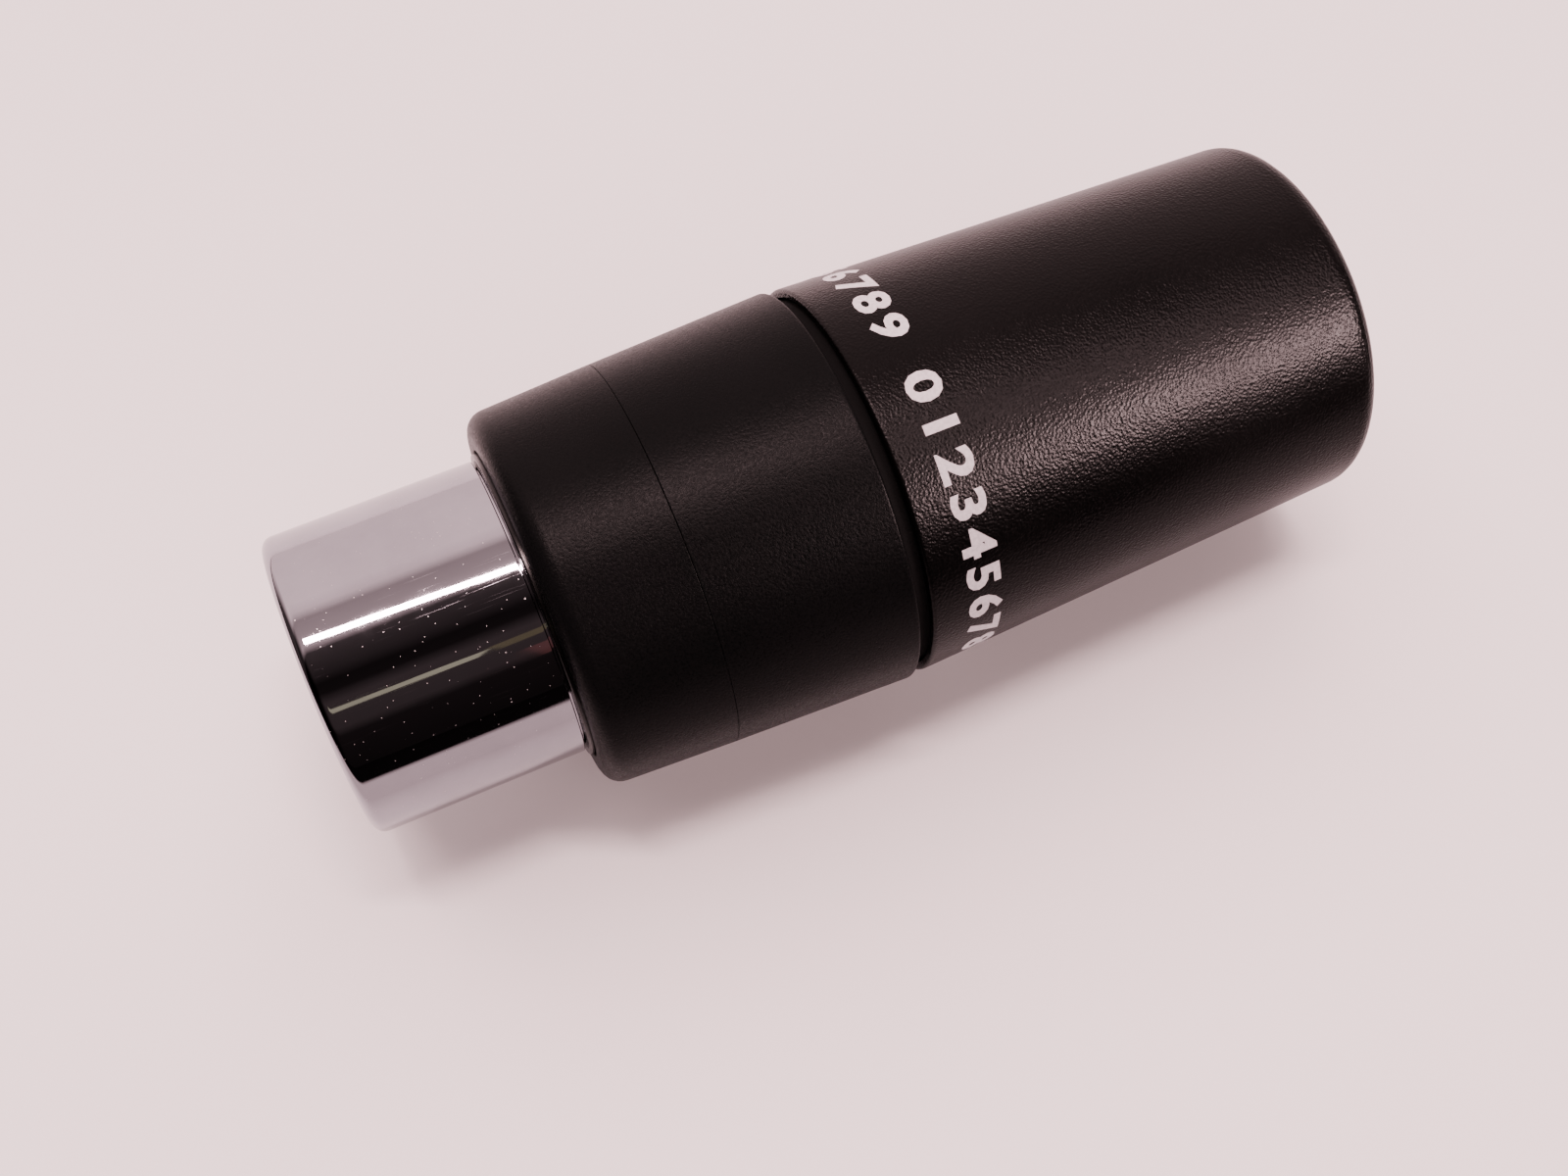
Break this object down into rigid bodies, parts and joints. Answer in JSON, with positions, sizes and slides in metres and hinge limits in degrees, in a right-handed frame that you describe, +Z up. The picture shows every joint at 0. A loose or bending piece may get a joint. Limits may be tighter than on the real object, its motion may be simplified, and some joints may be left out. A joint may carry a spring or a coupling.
{
  "type": "electronic eyepiece",
  "caption": "Straight video-camera eyepiece: chrome push-in nosepiece, tapered black body with a turning contrast ring and a pull-off battery cover.",
  "frame": {"origin": "on the table, under the middle of the eyepiece's length, with the eyepiece lying on its side", "axes": "+X along the optical axis from the nosepiece to the tail, +Z up from the table, +Y towards the video socket"},
  "size_m": [0.1112, 0.0434, 0.0434],
  "materials": {
    "chrome": "polished chrome plate, fine scratches and dust",
    "satin_black": "black ABS with a fine even matte texture",
    "grained_black": "black ABS with a coarser leather-like moulded grain and a soft sheen",
    "gloss_black": "smooth glossy black plastic",
    "flat_black": "dead flat black, anti-reflection",
    "rubber": "black rubber and vinyl",
    "foam": "dark grey closed-cell foam",
    "glass": "coated flat glass",
    "board_green": "green solder-masked glass-fibre board",
    "ceramic": "grey ceramic package",
    "steel": "zinc-plated steel",
    "brass": "turned brass",
    "aluminium": "bright aluminium can",
    "red_plastic": "red wire insulation",
    "battery_wrap": "printed steel battery case, plain dark grey"
  },
  "bodies": {
    "body": {"nosepiece_barrel": "chrome", "filter_window": "glass", "window_ring": "flat_black", "body_tube": "gloss_black", "front_shell": "satin_black", "contrast_track": "board_green", "stop_pin": "steel", "cover_o_ring": "rubber", "battery_tray": "flat_black", "tray_screw_1": "steel", "tray_screw_2": "steel", "battery": "battery_wrap", "terminal_stud": "steel", "terminal_socket": "steel", "contact_socket": "brass", "contact_stud": "brass", "snap_connector": "rubber", "lead_positive": "red_plastic", "lead_negative": "rubber", "sensor_board": "board_green", "video_board": "board_green", "board_header": "flat_black", "processor_chip": "flat_black", "capacitor_1": "aluminium", "capacitor_2": "aluminium", "crystal_can": "aluminium", "image_sensor": "ceramic", "sensor_glass": "glass", "sensor_shroud": "flat_black", "socket_body": "flat_black", "socket_bush": "brass", "front_spacer_1": "brass", "rear_spacer_1": "brass", "board_screw_1": "steel", "front_spacer_2": "brass", "rear_spacer_2": "brass", "board_screw_2": "steel", "front_spacer_3": "brass", "rear_spacer_3": "brass", "board_screw_3": "steel"},
    "contrast_ring": {"contrast_ring": "satin_black", "contrast_wiper": "brass", "stop_block": "satin_black"},
    "battery_cover": {"battery_cover": "grained_black", "cover_pad": "foam"}
  },
  "joints": [
    {"name": "contrast_turn", "type": "hinge", "parent": "body", "child": "contrast_ring", "pos_m": [0, 0, 0.02171], "axis": [1, 0, 0], "range_deg": [0, 280]},
    {"name": "cover_pull", "type": "slide", "parent": "body", "child": "battery_cover", "axis": [1, 0, 0], "range_m": [0, 0.056]}
  ]
}
